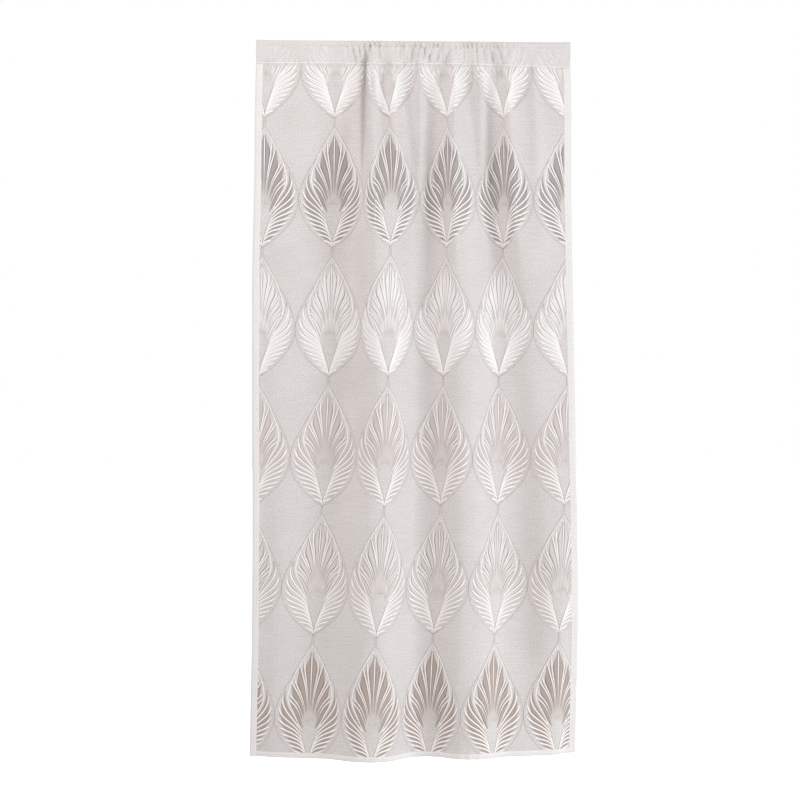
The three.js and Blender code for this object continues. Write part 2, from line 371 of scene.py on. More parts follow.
def closed_sheet(name, front, back, flat_map, material):
    """A skin from a front and a back grid, both rows by columns by 3."""
    rows, cols = front.shape[:2]
    count = rows * cols
    number = np.arange(count).reshape(rows, cols)
    faces = [
        grid_faces(rows, cols),
        grid_faces(rows, cols, count, flip=True),
        seam_faces(number[:, 0] + count, number[:, 0]),
        seam_faces(number[:, -1], number[:, -1] + count),
        seam_faces(number[0], number[0] + count),
        seam_faces(number[-1] + count, number[-1]),
    ]
    points = np.concatenate([front.reshape(-1, 3), back.reshape(-1, 3)])
    maps = np.concatenate([flat_map.reshape(-1, 2)] * 2)
    return mesh_object(name, points, np.concatenate(faces), material, maps)


# %% [markdown]
# ## Shader maths in plain Python
# A weave is a sum of small patterns. Wrapping a socket in a class lets the sums be written as
# ordinary Python, and each operator adds the Math node that it stands for. A second class adds any
# other node, with its settings and what feeds it, in one call. Materials, the air of the stage and
# the Geometry Nodes trees all use them.

# %% A small shader language
class Value:
    """A number socket that can be added, subtracted and multiplied like a number."""

    def __init__(self, tree, socket):
        self.tree = tree
        self.socket = socket

    def maths(self, operation, *others):
        node = self.tree.nodes.new("ShaderNodeMath")
        node.operation = operation
        for slot, item in enumerate(others):
            if isinstance(item, Value):
                self.tree.links.new(item.socket, node.inputs[slot])
            else:
                node.inputs[slot].default_value = item
        return Value(self.tree, node.outputs[0])

    def __add__(self, other):
        return self.maths("ADD", self, other)

    __radd__ = __add__

    def __sub__(self, other):
        return self.maths("SUBTRACT", self, other)

    def __rsub__(self, other):
        return self.maths("SUBTRACT", other, self)

    def __mul__(self, other):
        return self.maths("MULTIPLY", self, other)

    __rmul__ = __mul__

    def sine(self):
        return self.maths("SINE", self)

    def between(self, low, high):
        """The number, held between two limits."""
        return self.maths("MINIMUM", self.maths("MAXIMUM", self, low), high)


class Nodes:
    """A node tree, with the one method that adds nodes to it."""

    def __init__(self, tree):
        self.tree = tree

    def node(self, kind, settings=None, sockets=None):
        """A new node: its settings come first, and then the values or links of its sockets."""
        node = self.tree.nodes.new(kind)
        for key, value in (settings or {}).items():
            setattr(node, key, value)
        for key, value in (sockets or {}).items():
            self.feed(node.inputs[key], value)
        return node

    def feed(self, socket, value):
        if isinstance(value, Value):
            self.tree.links.new(value.socket, socket)
        elif isinstance(value, bpy.types.NodeSocket):
            self.tree.links.new(value, socket)
        else:
            socket.default_value = value

    def value(self, socket):
        return Value(self.tree, socket)


class Finish(Nodes):
    """A new material, and the few kinds of node that its patterns need."""

    def __init__(self, name):
        self.material = bpy.data.materials.new(name)
        self.material.use_nodes = True
        super().__init__(self.material.node_tree)
        self.shader = self.tree.nodes["Principled BSDF"]

    def dress(self, sockets):
        """Feed the sockets of the material's own shader."""
        for name, value in sockets.items():
            self.feed(self.shader.inputs[name], value)

    def flat_cloth(self):
        return self.node("ShaderNodeUVMap", {"uv_map": UV_NAME}).outputs["UV"]

    def blend(self, factor, first, second):
        node = self.node("ShaderNodeMix", {"data_type": "RGBA"}, {"Factor": factor, "A": first, "B": second})
        return node.outputs["Result"]

    def noise(self, place, scale=1.0, detail=2.0):
        node = self.node("ShaderNodeTexNoise", {}, {"Vector": place, "Scale": scale, "Detail": detail})
        return self.value(node.outputs["Fac"])

    def stretched(self, place, scale):
        return self.node("ShaderNodeMapping", {}, {"Vector": place, "Scale": scale}).outputs["Vector"]

    def bump(self, height, strength, distance):
        sockets = {"Height": height, "Strength": strength, "Distance": distance}
        return self.node("ShaderNodeBump", {}, sockets).outputs["Normal"]


# %% [markdown]
# ## The cloth's own finish
# The ground is a fine crepe weave: threads about 0.7 mm apart, small paler and darker flecks, and
# longer uneven streaks along the weft. It lets a little light through. The pocket and the hems are
# two layers of the same cloth, so they let less light through, and the hems look whiter.

# %% Woven finishes
def tone(red, green, blue):
    """A colour as seen on a screen, 0 to 255, as the linear colour that a shader takes."""
    def linear(channel):
        share = channel / 255
        return share / 12.92 if share <= 0.04045 else ((share + 0.055) / 1.055) ** 2.4
    return (linear(red), linear(green), linear(blue), 1.0)


WHITE = (1.0, 1.0, 1.0, 1.0)
BLACK = (0.0, 0.0, 0.0, 1.0)
THREAD_PITCH = 0.0007
THREAD_WAVE = 2 * math.pi / THREAD_PITCH
CREPE_GRAIN = (300.0, 430.0, 1.0)
STREAK_GRAIN = (18.0, 360.0, 1.0)
CLOUD_GRAIN = 9.0


def woven(name, light, dark, clear, flecks=1.0):
    """Woven cloth between two tones; clear is the share of light that one skin lets through."""
    cloth = Finish(name)
    flat = cloth.flat_cloth()
    parts = cloth.node("ShaderNodeSeparateXYZ", {}, {"Vector": flat})
    crepe = cloth.noise(cloth.stretched(flat, CREPE_GRAIN), detail=4.0)
    streak = cloth.noise(cloth.stretched(flat, STREAK_GRAIN))
    cloud = cloth.noise(flat, CLOUD_GRAIN)
    warp = (cloth.value(parts.outputs["X"]) * THREAD_WAVE).sine()
    weft = (cloth.value(parts.outputs["Y"]) * THREAD_WAVE).sine()
    shade = (crepe - 0.5) * (2.6 * flecks) + (streak - 0.5) + (cloud - 0.5) * 0.5
    shade = shade + warp * weft * 0.1 + 0.5
    height = crepe * 0.7 + warp * 0.15 + weft * 0.15
    cloth.dress({
        "Base Color": cloth.blend(shade.between(0.0, 1.0), dark, light),
        "Roughness": (crepe - 0.5) * 0.25 + 0.72,
        "Alpha": (crepe - 0.5) * 0.35 + (1.0 - clear),
        "Normal": cloth.bump(height, 0.5, 0.0004),
        "Sheen Weight": 0.15,
        "Sheen Roughness": 0.45,
        "Specular IOR Level": 0.25,
    })
    return cloth.material


lace_ground = woven("lace_ground", tone(238, 234, 232), tone(213, 207, 205), 0.1)
double_cloth = woven("double_cloth", tone(247, 245, 244), tone(232, 228, 226), 0.03, flecks=0.8)
header_cloth = woven("header_cloth", tone(236, 233, 231), tone(216, 211, 209), 0.03, flecks=0.8)
print("woven finishes:", lace_ground.name, double_cloth.name, header_cloth.name)

# %% [markdown]
# ## The hanging panel
# The grid's columns are warp threads. They are closer where the cloth is folded, and its rows are
# closer under the pocket, where the gathers fade. The hems are a second layer of cloth, so the
# skin is thicker there, with small puckers where the sewing draws it in.

# %% Build the panel
def thickness(flat, below):
    """One layer of cloth, two in the hems, and a short ramp between them."""
    from_side = np.minimum(flat, FLAT_WIDTH - flat)
    side = 1.0 - smooth(SIDE_HEM, SIDE_HEM + HEM_RAMP, from_side)
    foot = smooth(DROP - BOTTOM_HEM - HEM_RAMP, DROP - BOTTOM_HEM, below)
    return mix(LACE_THICK, HEM_THICK, np.maximum(side, foot))


def spread(*stretches):
    """Numbers from one stop to the next, each stretch with its own step."""
    parts = [np.linspace(a, b, max(int(round((b - a) / step)), 1), endpoint=False)
             for a, b, step in stretches]
    return np.concatenate([*parts, [stretches[-1][1]]])


FOLDED_FROM = 212.0
FOLDED_TO = 858.0
GATHERS_GONE = 140.0
FOOT_WAVES = 1740.0
hem_in = SIDE_HEM + HEM_RAMP
hem_top = DROP - BOTTOM_HEM - HEM_RAMP
panel_flats = spread(
    (0.0, SIDE_HEM, 5.0), (SIDE_HEM, hem_in, 0.75), (hem_in, FOLDED_FROM, 7.0),
    (FOLDED_FROM, FOLDED_TO, 3.2), (FOLDED_TO, FLAT_WIDTH - hem_in, 5.0),
    (FLAT_WIDTH - hem_in, FLAT_WIDTH - SIDE_HEM, 0.75), (FLAT_WIDTH - SIDE_HEM, FLAT_WIDTH, 5.0),
)
panel_belows = spread(
    (POCKET_DEPTH, GATHERS_GONE, 5.0), (GATHERS_GONE, FOOT_WAVES, 15.0), (FOOT_WAVES, hem_top, 6.0),
    (hem_top, DROP - BOTTOM_HEM, 0.75), (DROP - BOTTOM_HEM, DROP, 3.0),
)
flat_grid, below_grid = np.meshgrid(panel_flats, panel_belows)
half_grid = thickness(flat_grid, below_grid) / 2
panel_front = hang(flat_grid, below_grid, half_grid)
panel_back = hang(flat_grid, below_grid, -half_grid)

# The top row follows the seam where it dips, and the next three rows ease into that
dip_left = np.array([[0.75], [0.5], [0.25]])
for side in (panel_front, panel_back):
    side[0, :, 2] = -(seam_below(side[0, :, 0] / MM) + SEAM_GAP / 2) * MM
    side[1:4, :, 2] -= (seam_below(side[1:4, :, 0] / MM) - POCKET_DEPTH) * MM * dip_left
panel_map = np.stack([flat_grid * MM, -below_grid * MM], axis=-1)
panel = closed_sheet("lace_cloth", panel_front, panel_back, panel_map, lace_ground)

# Faces inside a hem take the finish of two layers of cloth
panel.data.materials.append(double_cloth)
corner_map = panel.data.uv_layers[UV_NAME].data
first_corners = np.array([corner_map[face.loop_start].uv[:] for face in panel.data.polygons]) / MM
in_hem = (first_corners[:, 0] < SIDE_HEM - 0.1) | (first_corners[:, 0] > FLAT_WIDTH - SIDE_HEM - 0.1)
in_hem |= first_corners[:, 1] < -(DROP - BOTTOM_HEM) + 0.1
panel.data.polygons.foreach_set("material_index", in_hem.astype(np.int32))
print("panel grid:", flat_grid.shape, "faces in hems:", int(in_hem.sum()))

# %% [markdown]
# ## The rod pocket
# The heading is the same cloth going up the front, over the rod and down the back to the seam. It
# is a closed loop of cloth swept across the curtain, open at both ends. On the rod the cloth is
# pushed together into fine gathers. Just under the rod it is pinched in with small dimples, and
# from there slanting creases run down to the seam. Three of them are deeper than the rest.

# %% Build the pocket
PINCH_BELOW = 14.0
PINCH_HEIGHT = 3.0
PINCH_DEPTH = 2.6
ROD_PLEAT = 1.8
CREASE_SLANT = 13.0
CREASE_HEIGHT = 3.8
DEEP_CREASES = [
    {"at": -109.0, "slant": -10.0, "deep": 6.0, "half": 2.9},
    {"at": 93.0, "slant": -11.0, "deep": 3.0, "half": 3.6},
    {"at": 4.0, "slant": -7.0, "deep": 2.2, "half": 4.5},
]
POCKET_WALL = ROD_SPACE / 2 + LACE_THICK / 2
ROD_CENTRE = POCKET_WALL + LACE_THICK / 2
POCKET_CLOSED = SEAM_SLIT / 2 + LACE_THICK / 2
FRONT_STATIONS = np.array([1.0, 0.93, 0.84, 0.74, 0.62, 0.5, 0.38, 0.28, 0.2, 0.13, 0.08, 0.04])
ROD_TURNS = np.radians(np.linspace(180.0, 0.0, 11))


def gathered(x):
    """How much of the pushed-together cloth there is at each x, from 0 to 1."""
    left = smooth(GATHER_FROM - 30.0, GATHER_FROM + 40.0, x)
    return left * (1.0 - smooth(GATHER_TO - 40.0, GATHER_TO + 50.0, x))


def creases(x, share):
    """Slanting creases with narrow valleys between the rod and the seam."""
    slant = CREASE_SLANT * np.sin(x / 57.0 + 0.8) * share
    narrow = 2.0 * np.abs(np.sin((x + slant) / 5.6 + 0.9 * np.sin(x / 23.0))) ** 0.7 - 0.7
    broad = np.sin((x - 1.5 * slant) / 6.6 + 2.4 * np.sin(x / 37.0))
    uneven = 0.55 + 0.45 * np.sin(x / 27.0 + 0.4)
    height = CREASE_HEIGHT * (0.25 + 0.75 * gathered(x)) * (narrow * uneven + 0.65 * broad)
    for line in DEEP_CREASES:
        height -= line["deep"] * np.exp(-(((x - line["at"] - line["slant"] * share) / line["half"]) ** 2))
    return height * np.sin(share * math.pi) ** 0.7


def pocket_cloth(forward, x, seam_out, share, below):
    """How far out the middle of the pocket's cloth is, in front (1) or at the back (-1)."""
    half = mix(POCKET_WALL, POCKET_CLOSED, share ** 0.85)
    dimple = PINCH_DEPTH * (1.0 + 0.6 * np.sin(x / 2.9 + 2.0 * np.sin(x / 23.0)))
    dimple = dimple * (0.4 + 0.6 * gathered(x))
    half = half - dimple * np.exp(-(((below - PINCH_BELOW) / PINCH_HEIGHT) ** 2))
    pleat = ROD_PLEAT * pleats(x, POCKET_DEPTH)
    at_seam = GATHER_SHOWN / ROD_PLEAT
    if forward > 0:
        relief = pleat * mix(1.0, at_seam, smooth(0.0, 0.25, share)) + creases(x, share)
    else:
        relief = pleat * mix(-1.0, at_seam, share) + creases(x, share) * mix(-1.0, 1.0, share)
    return forward * half + seam_out * share + relief


def heading_rows(x, seam_out, thick, side):
    """The loop of the pocket's wall at each x, as rows of (out, below)."""
    face = side * thick / 2
    seam = seam_below(x) - SEAM_GAP / 2
    lowest = seam if side > 0 else seam - SEAM_ALLOWANCE
    pleat = ROD_PLEAT * pleats(x, POCKET_DEPTH)
    loop = []
    for forward, shares in ((1, FRONT_STATIONS), (-1, FRONT_STATIONS[::-1])):
        if forward < 0:
            for turn in ROD_TURNS:
                ridge = pleat * (0.55 + 0.45 * np.abs(np.cos(turn)))
                reach = POCKET_WALL + face + ridge
                lift = POCKET_WALL + face + ridge * np.sin(turn) * 0.5
                loop.append((-np.cos(turn) * reach, ROD_CENTRE - np.sin(turn) * lift))
        for share in shares:
            below = mix(ROD_CENTRE, lowest, share)
            out = pocket_cloth(forward, x, seam_out, share, below) + forward * face
            loop.append((out, below))
    return loop


def seam_line_out(flat):
    """How far out the panel is along the seam, without its fine gathers, and the x there."""
    x = np.interp(flat, FLATS, HUNG_X[0])
    return x, np.interp(flat, FLATS, HUNG_OUT[0]) - GATHER_SHOWN * pleats(x, POCKET_DEPTH)


heading_steps = spread((-1.0, -0.955, 0.008), (-0.955, -0.44, 0.015), (-0.44, 0.64, 0.0045),
                       (0.64, 0.955, 0.015), (0.955, 1.0, 0.008))
heading_x = mix(HUNG_X[0, 0], HUNG_X[0, -1], (heading_steps + 1) / 2)
heading_flat = np.interp(heading_x, HUNG_X[0], FLATS)
heading_out = seam_line_out(heading_flat)[1]
heading_thick = thickness(heading_flat, np.full_like(heading_flat, POCKET_DEPTH))


def heading_grid(thick, side):
    rows = heading_rows(heading_x, heading_out, thick, side)
    outs, belows = (
        np.array([np.broadcast_to(row[part], heading_x.shape) for row in rows]) for part in (0, 1)
    )
    return placed(np.broadcast_to(heading_x, outs.shape), outs, belows)


outer_grid = heading_grid(heading_thick, 1)
inner_grid = heading_grid(np.full_like(heading_x, LACE_THICK), -1)
loop_rows, loop_cols = outer_grid.shape[:2]
loop_count = loop_rows * loop_cols
loop_number = np.arange(loop_count).reshape(loop_rows, loop_cols)
ring = np.vstack([loop_number, loop_number[:1]])
heading_faces = []
for k in range(loop_rows):
    heading_faces.append(seam_faces(ring[k], ring[k + 1]))
    heading_faces.append(seam_faces(ring[k] + loop_count, ring[k + 1] + loop_count)[:, ::-1])
heading_faces.append(seam_faces(ring[:, 0], ring[:, 0] + loop_count))
heading_faces.append(seam_faces(ring[:, -1] + loop_count, ring[:, -1]))
steps = np.linalg.norm(np.diff(outer_grid, axis=0), axis=2)
up_cloth = np.concatenate([np.zeros((1, loop_cols)), np.cumsum(steps, axis=0)])
heading_map = np.stack([np.broadcast_to(heading_flat * MM, up_cloth.shape), up_cloth], axis=-1)
heading = mesh_object(
    "heading_cloth",
    np.concatenate([outer_grid.reshape(-1, 3), inner_grid.reshape(-1, 3)]),
    np.concatenate(heading_faces),
    header_cloth,
    np.concatenate([heading_map.reshape(-1, 2)] * 2),
)

# %% [markdown]
# ## The leaf in the weave
# The weave has one motif: a leaf that points up. It is drawn here from formulas and three short
# tables of ribs, on one half, in millimetres across from its middle and below its tip. A thin line
# in the tone of the ground runs round the leaf, with a darker thread along it. That darker thread,
# and the ones beside the stem and the top of the fan's outline, are partly a woven contour and
# partly painted shade in the groove beside the raised yarn. Inside the line stands a fan of ribs
# with a white outline, and a row of small feathers curls up each side of the fan and the stem. Each
# rib leaves its tip at one angle (curl) and reaches the stem at another (run). Between the ribs
# lies a flat filling thread.

# %% The leaf's outlines and ribs
OGEE_WIDTH = 86.5
OGEE_START = -8.0
OGEE_LOW = 1.42
OGEE_ROUND = 0.884
OGEE_ROOM = 3.2
OGEE_FOOT_ROOM = 2.0
OGEE_FOOT_FROM = 225.0
OGEE_FOOT_TO = 255.0
OGEE_BESIDE_FAN = 1.9
OGEE_LEAVES_FAN = 100.0
OGEE_OPEN = 30.0
FAN_WIDTH = 57.0
FAN_END = 224.0
FAN_LOW = 1.365
FAN_ROUND = 0.711
FAN_DRAWN_IN = 0.22
FAN_DRAWN_FROM = 130.0
FAN_DRAWN_TO = 180.0
FAN_LINE_END = 206.0
STEM_WIDTH = 23.0
STEM_TOP = 200.0
STEM_END = 305.0
STEM_LINE_TOP = 216.0
ROW_PITCH = 324.3
THREAD_CROSSING = 298.0


def fan_edge(below):
    """The outline of the fan: a bulb that is drawn in below its widest place."""
    share = np.clip(below, 0.0, FAN_END) / FAN_END
    bulb = FAN_WIDTH * np.sin(np.pi * share ** FAN_LOW) ** FAN_ROUND
    return bulb * (1.0 - FAN_DRAWN_IN * smooth(FAN_DRAWN_FROM, FAN_DRAWN_TO, below))


def ogee_edge(below):
    """The thin line round the leaf: close to the fan above, and clear of the feathers below."""
    share = np.clip((below - OGEE_START) / (THREAD_CROSSING - OGEE_START), 0.0, 1.0)
    wide = OGEE_WIDTH * np.sin(np.pi * share ** OGEE_LOW) ** OGEE_ROUND
    near = fan_edge(below) + OGEE_BESIDE_FAN * smooth(THREAD_CROSSING - ROW_PITCH, 0.0, below)
    opening = np.maximum(wide * smooth(OGEE_START, OGEE_OPEN, below), near)
    return np.where(below < OGEE_LEAVES_FAN, opening, wide)


def leaf_edge(below):
    """Where the feathers begin: inside the thin line, with more room at the foot of the leaf."""
    return ogee_edge(below) - OGEE_ROOM - OGEE_FOOT_ROOM * smooth(OGEE_FOOT_FROM, OGEE_FOOT_TO, below)


def stem_edge(below):
    """Where the feathers end: a V that starts straight down and closes at the foot of the leaf."""
    return STEM_WIDTH * (1.0 - smooth(STEM_TOP, STEM_END, below))


CENTRE_RIB = {"tip": (0.0, 14.0), "root": (0.0, 196.0), "curl": 90.0, "run": 90.0}
FAN_RIBS = [CENTRE_RIB] + [
    {"tip": (float(fan_edge(below)), below), "root": root, "curl": curl, "run": run}
    for below, root, curl, run in (
        (30.0, (2.6, 201.0), 92.0, 89.0),
        (50.0, (5.2, 195.0), 74.0, 89.0),
        (79.0, (7.9, 199.0), 76.0, 87.0),
        (93.0, (10.2, 193.0), 60.0, 84.0),
        (124.0, (12.3, 200.0), 34.0, 79.0),
        (138.0, (14.0, 207.0), 24.0, 74.0),
    )
]
FEATHER_RIBS = [
    {"tip": (float(leaf_edge(below)), below), "root": (float(stem_edge(root)), root),
     "curl": curl, "run": run}
    for below, root, curl, run in (
        (125.0, 213.0, 97.0, 59.0), (151.0, 225.0, 86.0, 62.0), (181.0, 238.0, 52.0, 65.0),
        (205.0, 251.5, 28.0, 68.0), (223.0, 260.0, 18.0, 69.0), (238.0, 268.0, 14.0, 69.0),
        (251.0, 275.5, 15.0, 68.0), (264.5, 283.0, 19.0, 66.0), (279.5, 291.5, 30.0, 64.0),
    )
]
TWIN_RIBS = [
    {"tip": (62.5, 112.0), "root": (29.0, 193.5), "curl": 98.0, "run": 53.0},
    {"tip": (68.5, 115.0), "root": (31.5, 199.0), "curl": 100.0, "run": 53.0},
]
TWIN_HALVES = (0.6, 0.6)
FAN_SHARES = (0.25, 0.58)
FEATHER_SHARES = (0.38, 0.4)


def rib_curve(rib, shares, count, start=0.0, end=1.0):
    """A smooth curve from a rib's tip to its root; shares say how far each direction holds."""
    t = np.linspace(start, end, count)[:, None]
    tip = np.array(rib["tip"])
    root = np.array(rib["root"])
    reach = np.linalg.norm(root - tip)
    curl = math.radians(rib["curl"])
    run = math.radians(rib["run"])
    after_tip = tip + shares[0] * reach * np.array([-math.cos(curl), math.sin(curl)])
    before_root = root - shares[1] * reach * np.array([-math.cos(run), math.sin(run)])
    first = (1 - t) ** 3 * tip + 3 * (1 - t) ** 2 * t * after_tip
    return first + 3 * (1 - t) * t * t * before_root + t ** 3 * root


print("ribs in half a leaf:", len(FAN_RIBS) + len(FEATHER_RIBS) + len(TWIN_RIBS))

# %% [markdown]
# A yarn is a closed tube with six sides, and it gets thinner at its ends. A filling is a closed
# lens between two ribs, a little lower than they are. It starts as a point beside the first of
# them, and where the ribs come together it ends as a fine line. Each point of a filling knows how
# near it is to the lens's rim, where its finish is darkened with painted shade for the hollow in
# which the threads sink between the ribs, and how far it has gone over into the tone of the
# ground near the stem.

# %% Build the motifs on the flat
YARN_TOP = 1.25
YARN_BACK = -1.05
FILL_FACE = 1.05
FILL_EDGE = 0.8
OUTLINE_HALF = 1.9
FINE_HALF = 0.75
STEM_HALVES = (1.3, 0.9)
CONTOUR_HALF = 0.5
CONTOUR_TOP = 0.95
FAN_RIB_HALVES = (2.1, 2.1)
FEATHER_RIB_HALVES = (2.9, 2.0)
FAN_POINT = 0.26
FEATHER_POINT = 0.36
FAN_FADE = (0.52, 0.86)
FAN_FILL_FADE = (0.78, 0.985)
FAN_TAIL = 0.6
FEATHER_TAIL = 0.1
GROUND_ONLY = (-1.0, -0.5)
RIB_END = 0.22
FEATHER_FADE = (0.86, 1.2)
FILL_SHOULDER = FILL_FACE - 0.05
FILL_RING = (
    (-1.0, FILL_EDGE), (-0.5, FILL_SHOULDER), (0.0, FILL_FACE), (0.5, FILL_SHOULDER),
    (1.0, FILL_EDGE), (1.0, -FILL_EDGE), (0.0, -FILL_FACE), (-1.0, -FILL_EDGE),
)
FILL_TUCK = 0.3
FILL_LEAN = 0.44
FILL_LINE = 0.35
FILL_THIN = 1.2
RIM_NAME = "Rim"


def ring_points(line, across, halves_and_heights):
    """Rings of points round a line on the flat cloth, one ring at each of its points."""
    rows = []
    for half, height in halves_and_heights:
        flat = line + across * half
        rows.append(np.column_stack([flat[:, 0], -flat[:, 1], np.broadcast_to(height, len(line))]))
    return np.stack(rows, axis=1).reshape(-1, 3)


def strip_faces(count, ring):
    """Faces between such rings, and one at each end."""
    number = np.arange(count * ring).reshape(count, ring)
    faces = [[number[k, s], number[k, (s + 1) % ring], number[k + 1, (s + 1) % ring], number[k + 1, s]]
             for k in range(count - 1) for s in range(ring)]
    return faces + [number[0].tolist(), number[-1].tolist()]


def across_line(line):
    """The direction square to a line, at each of its points."""
    along = np.gradient(line, axis=0)
    along /= np.linalg.norm(along, axis=1)[:, None]
    return np.stack([-along[:, 1], along[:, 0]], axis=1)


def yarn(line, halves, taper=0.5, tail=0.1, fade=(1.0, 2.0), top=YARN_TOP):
    """A tube along a line on the flat cloth, from one half width to another; tail is the share of
    its length in which its end gets thin, and between the two shares of fade its tone goes over
    into that of the ground."""
    across = across_line(line)
    share = np.linspace(0.0, 1.0, len(line))
    slim = np.minimum(1.0, taper + np.minimum(5.0 * share, (1.0 - taper) * (1.0 - share) / tail))
    half = (mix(halves[0], halves[1], share) * slim)[:, None]
    raised = 0.5 + 0.5 * slim
    ring = ((1, 0.0), (0.6, top), (-0.6, top), (-1, 0.0), (-0.6, YARN_BACK), (0.6, YARN_BACK))
    points = ring_points(line, across, [(half * side, raised * height) for side, height in ring])
    return points, strip_faces(len(line), len(ring)), np.repeat(-smooth(*fade, share), len(ring))


def filling(first, second, halves, point, fade):
    """A closed lens between two ribs with half widths at tip and root. It starts as a point beside
    the first rib and fills the gap from the share point on. Between the two shares of fade its tone
    goes over into that of the ground."""
    share = np.linspace(0.0, 1.0, len(first))
    apart = second - first
    gap = np.linalg.norm(apart, axis=1)
    place = 0.5 - FILL_LEAN * (1.0 - smooth(-0.02, point, share))
    middle = first + apart * place[:, None]
    half = np.maximum(gap * place - mix(halves[0], halves[1], share) + FILL_TUCK, FILL_LINE)
    step = apart / gap[:, None] * half[:, None]
    points = ring_points(middle, step, FILL_RING)
    ring = len(FILL_RING)
    # The rim of each lens gets painted shade, and a lens too narrow for a middle is painted shade all over.
    painted_rim_shade = np.tile([abs(side) for side, height in FILL_RING], len(first))
    painted_rim_shade = np.where(np.repeat(half < FILL_THIN, ring), 1.0, painted_rim_shade)
    faded = np.repeat(smooth(*fade, share), ring)
    return points, strip_faces(len(first), ring), painted_rim_shade * (1.0 - faded) - faded


def motif_object(name, parts):
    """One mesh from many closed parts, with every face pointing outwards."""
    mesh = bpy.data.meshes.new(name)
    points = []
    faces = []
    rims = []
    for part_points, part_faces, part_rim in parts:
        faces += [[int(corner) + len(points) for corner in face] for face in part_faces]
        points += part_points.tolist()
        rims += part_rim.tolist()
    mesh.from_pydata(points, [], faces)
    mesh.attributes.new(RIM_NAME, "FLOAT", "POINT").data.foreach_set("value", rims)
    shape = bmesh.new()
    shape.from_mesh(mesh)
    bmesh.ops.recalc_face_normals(shape, faces=shape.faces)
    shape.to_mesh(mesh)
    shape.free()
    shade_smooth(mesh)
    motif = add_object(name, mesh)
    motif.hide_render = True
    print(name, "faces in one motif:", len(mesh.polygons))
    return motif


def both_sides(line):
    """A line of the right half, and its mirror image on the left half."""
    return [line, line * np.array([-1.0, 1.0])]


# %% Weave the yarns and fillings of one leaf
fan_below = FAN_LINE_END * np.linspace(0.0, 1.0, 24) ** 1.4
fan_line = np.column_stack([fan_edge(fan_below), fan_below])
crossing_before = THREAD_CROSSING - ROW_PITCH
leaf_below = np.concatenate([
    [crossing_before, crossing_before / 2], THREAD_CROSSING * np.linspace(0.0, 1.0, 34) ** 1.2,
])
ogee_line = np.column_stack([ogee_edge(leaf_below), leaf_below])
stem_below = np.linspace(STEM_LINE_TOP, THREAD_CROSSING, 11)
stem_line = np.column_stack([stem_edge(stem_below), stem_below])
CONTOUR_OUT = 1.35
FAN_CONTOUR_OUT = 1.89
FAN_CONTOUR_POINTS = 14
CENTRE_POINTS = 8
RIB_POINTS = 11
FILL_POINTS = 13
FILL_STOP = 0.97
LAST_LENS = (146.0, 210.0)
LAST_POINTS = 12
LAST_POINT = 0.2


def beside(line, distance):
    """A line that runs next to another."""
    return line + across_line(line) * distance


yarn_parts = []
contour_parts = []
for line in both_sides(fan_line):
    yarn_parts.append(yarn(line, (FINE_HALF, OUTLINE_HALF)))
for line in both_sides(ogee_line):
    yarn_parts.append(yarn(line, (FINE_HALF, FINE_HALF), taper=1.0, fade=GROUND_ONLY))
for line in both_sides(stem_line):
    yarn_parts.append(yarn(line, STEM_HALVES))
for line in both_sides(beside(ogee_line, -CONTOUR_OUT)):
    contour_parts.append(yarn(line, (CONTOUR_HALF, CONTOUR_HALF), 1.0, top=CONTOUR_TOP))
for line in both_sides(beside(stem_line, STEM_HALVES[0] + CONTOUR_HALF)):
    contour_parts.append(yarn(line, (2 * CONTOUR_HALF, CONTOUR_HALF), top=CONTOUR_TOP))
for line in both_sides(beside(fan_line[:FAN_CONTOUR_POINTS], -FAN_CONTOUR_OUT)):
    contour_parts.append(yarn(line, (CONTOUR_HALF, CONTOUR_HALF), top=CONTOUR_TOP))
centre_line = rib_curve(CENTRE_RIB, FAN_SHARES, CENTRE_POINTS)
yarn_parts.append(yarn(centre_line, FAN_RIB_HALVES, RIB_END, FAN_TAIL, FAN_FADE))
for ribs, shares, halves, tail, fade in (
    (FAN_RIBS[1:], FAN_SHARES, FAN_RIB_HALVES, FAN_TAIL, FAN_FADE),
    (FEATHER_RIBS, FEATHER_SHARES, FEATHER_RIB_HALVES, FEATHER_TAIL, FEATHER_FADE),
):
    for rib in ribs:
        for line in both_sides(rib_curve(rib, shares, RIB_POINTS)):
            yarn_parts.append(yarn(line, halves, RIB_END, tail, fade))
yarn_motif = motif_object("leaf_yarn_motif", yarn_parts)
contour_motif = motif_object("leaf_contour_motif", contour_parts)

fill_parts = []
for ribs, shares, halves, begin, point, fade in (
    (FAN_RIBS, FAN_SHARES, FAN_RIB_HALVES, 0.015, FAN_POINT, FAN_FILL_FADE),
    (FEATHER_RIBS, FEATHER_SHARES, FEATHER_RIB_HALVES, -0.02, FEATHER_POINT, FEATHER_FADE),
):
    for k in range(len(ribs) - 1):
        first, second = (rib_curve(rib, shares, FILL_POINTS, begin, FILL_STOP) for rib in ribs[k:k + 2])
        for line, other in zip(both_sides(first), both_sides(second)):
            fill_parts.append(filling(line, other, halves, point, fade))

# The last lens of the fan lies between its last rib and its outline, and the twin lines of the
# topmost feather hold one narrow lens between them
last_below = np.linspace(*LAST_LENS, LAST_POINTS)
last_edge = np.column_stack([fan_edge(last_below), last_below])
last_rib = rib_curve(FAN_RIBS[-1], FAN_SHARES, LAST_POINTS)
for line, other in zip(both_sides(last_rib), both_sides(last_edge)):
    fill_parts.append(filling(line, other, (1.6 * OUTLINE_HALF, OUTLINE_HALF), LAST_POINT, FEATHER_FADE))
twin_lines = [both_sides(rib_curve(rib, FEATHER_SHARES, FILL_POINTS)) for rib in TWIN_RIBS]
for line, other in zip(*twin_lines):
    fill_parts.append(filling(line, other, TWIN_HALVES, FEATHER_POINT, FEATHER_FADE))
fill_motif = motif_object("leaf_fill_motif", fill_parts)

# %% [markdown]
# ## Spread the leaves with Geometry Nodes
# The leaves repeat in columns and rows, so a node tree sets them out: a grid of points, one motif
# on each, made into plain mesh at the end. It is the loom's repeat, with its pitches as inputs.

# %% The node tree of the repeat
COLUMNS = 6
COLUMN_PITCH = 176.0
FIRST_TIP = -104.5


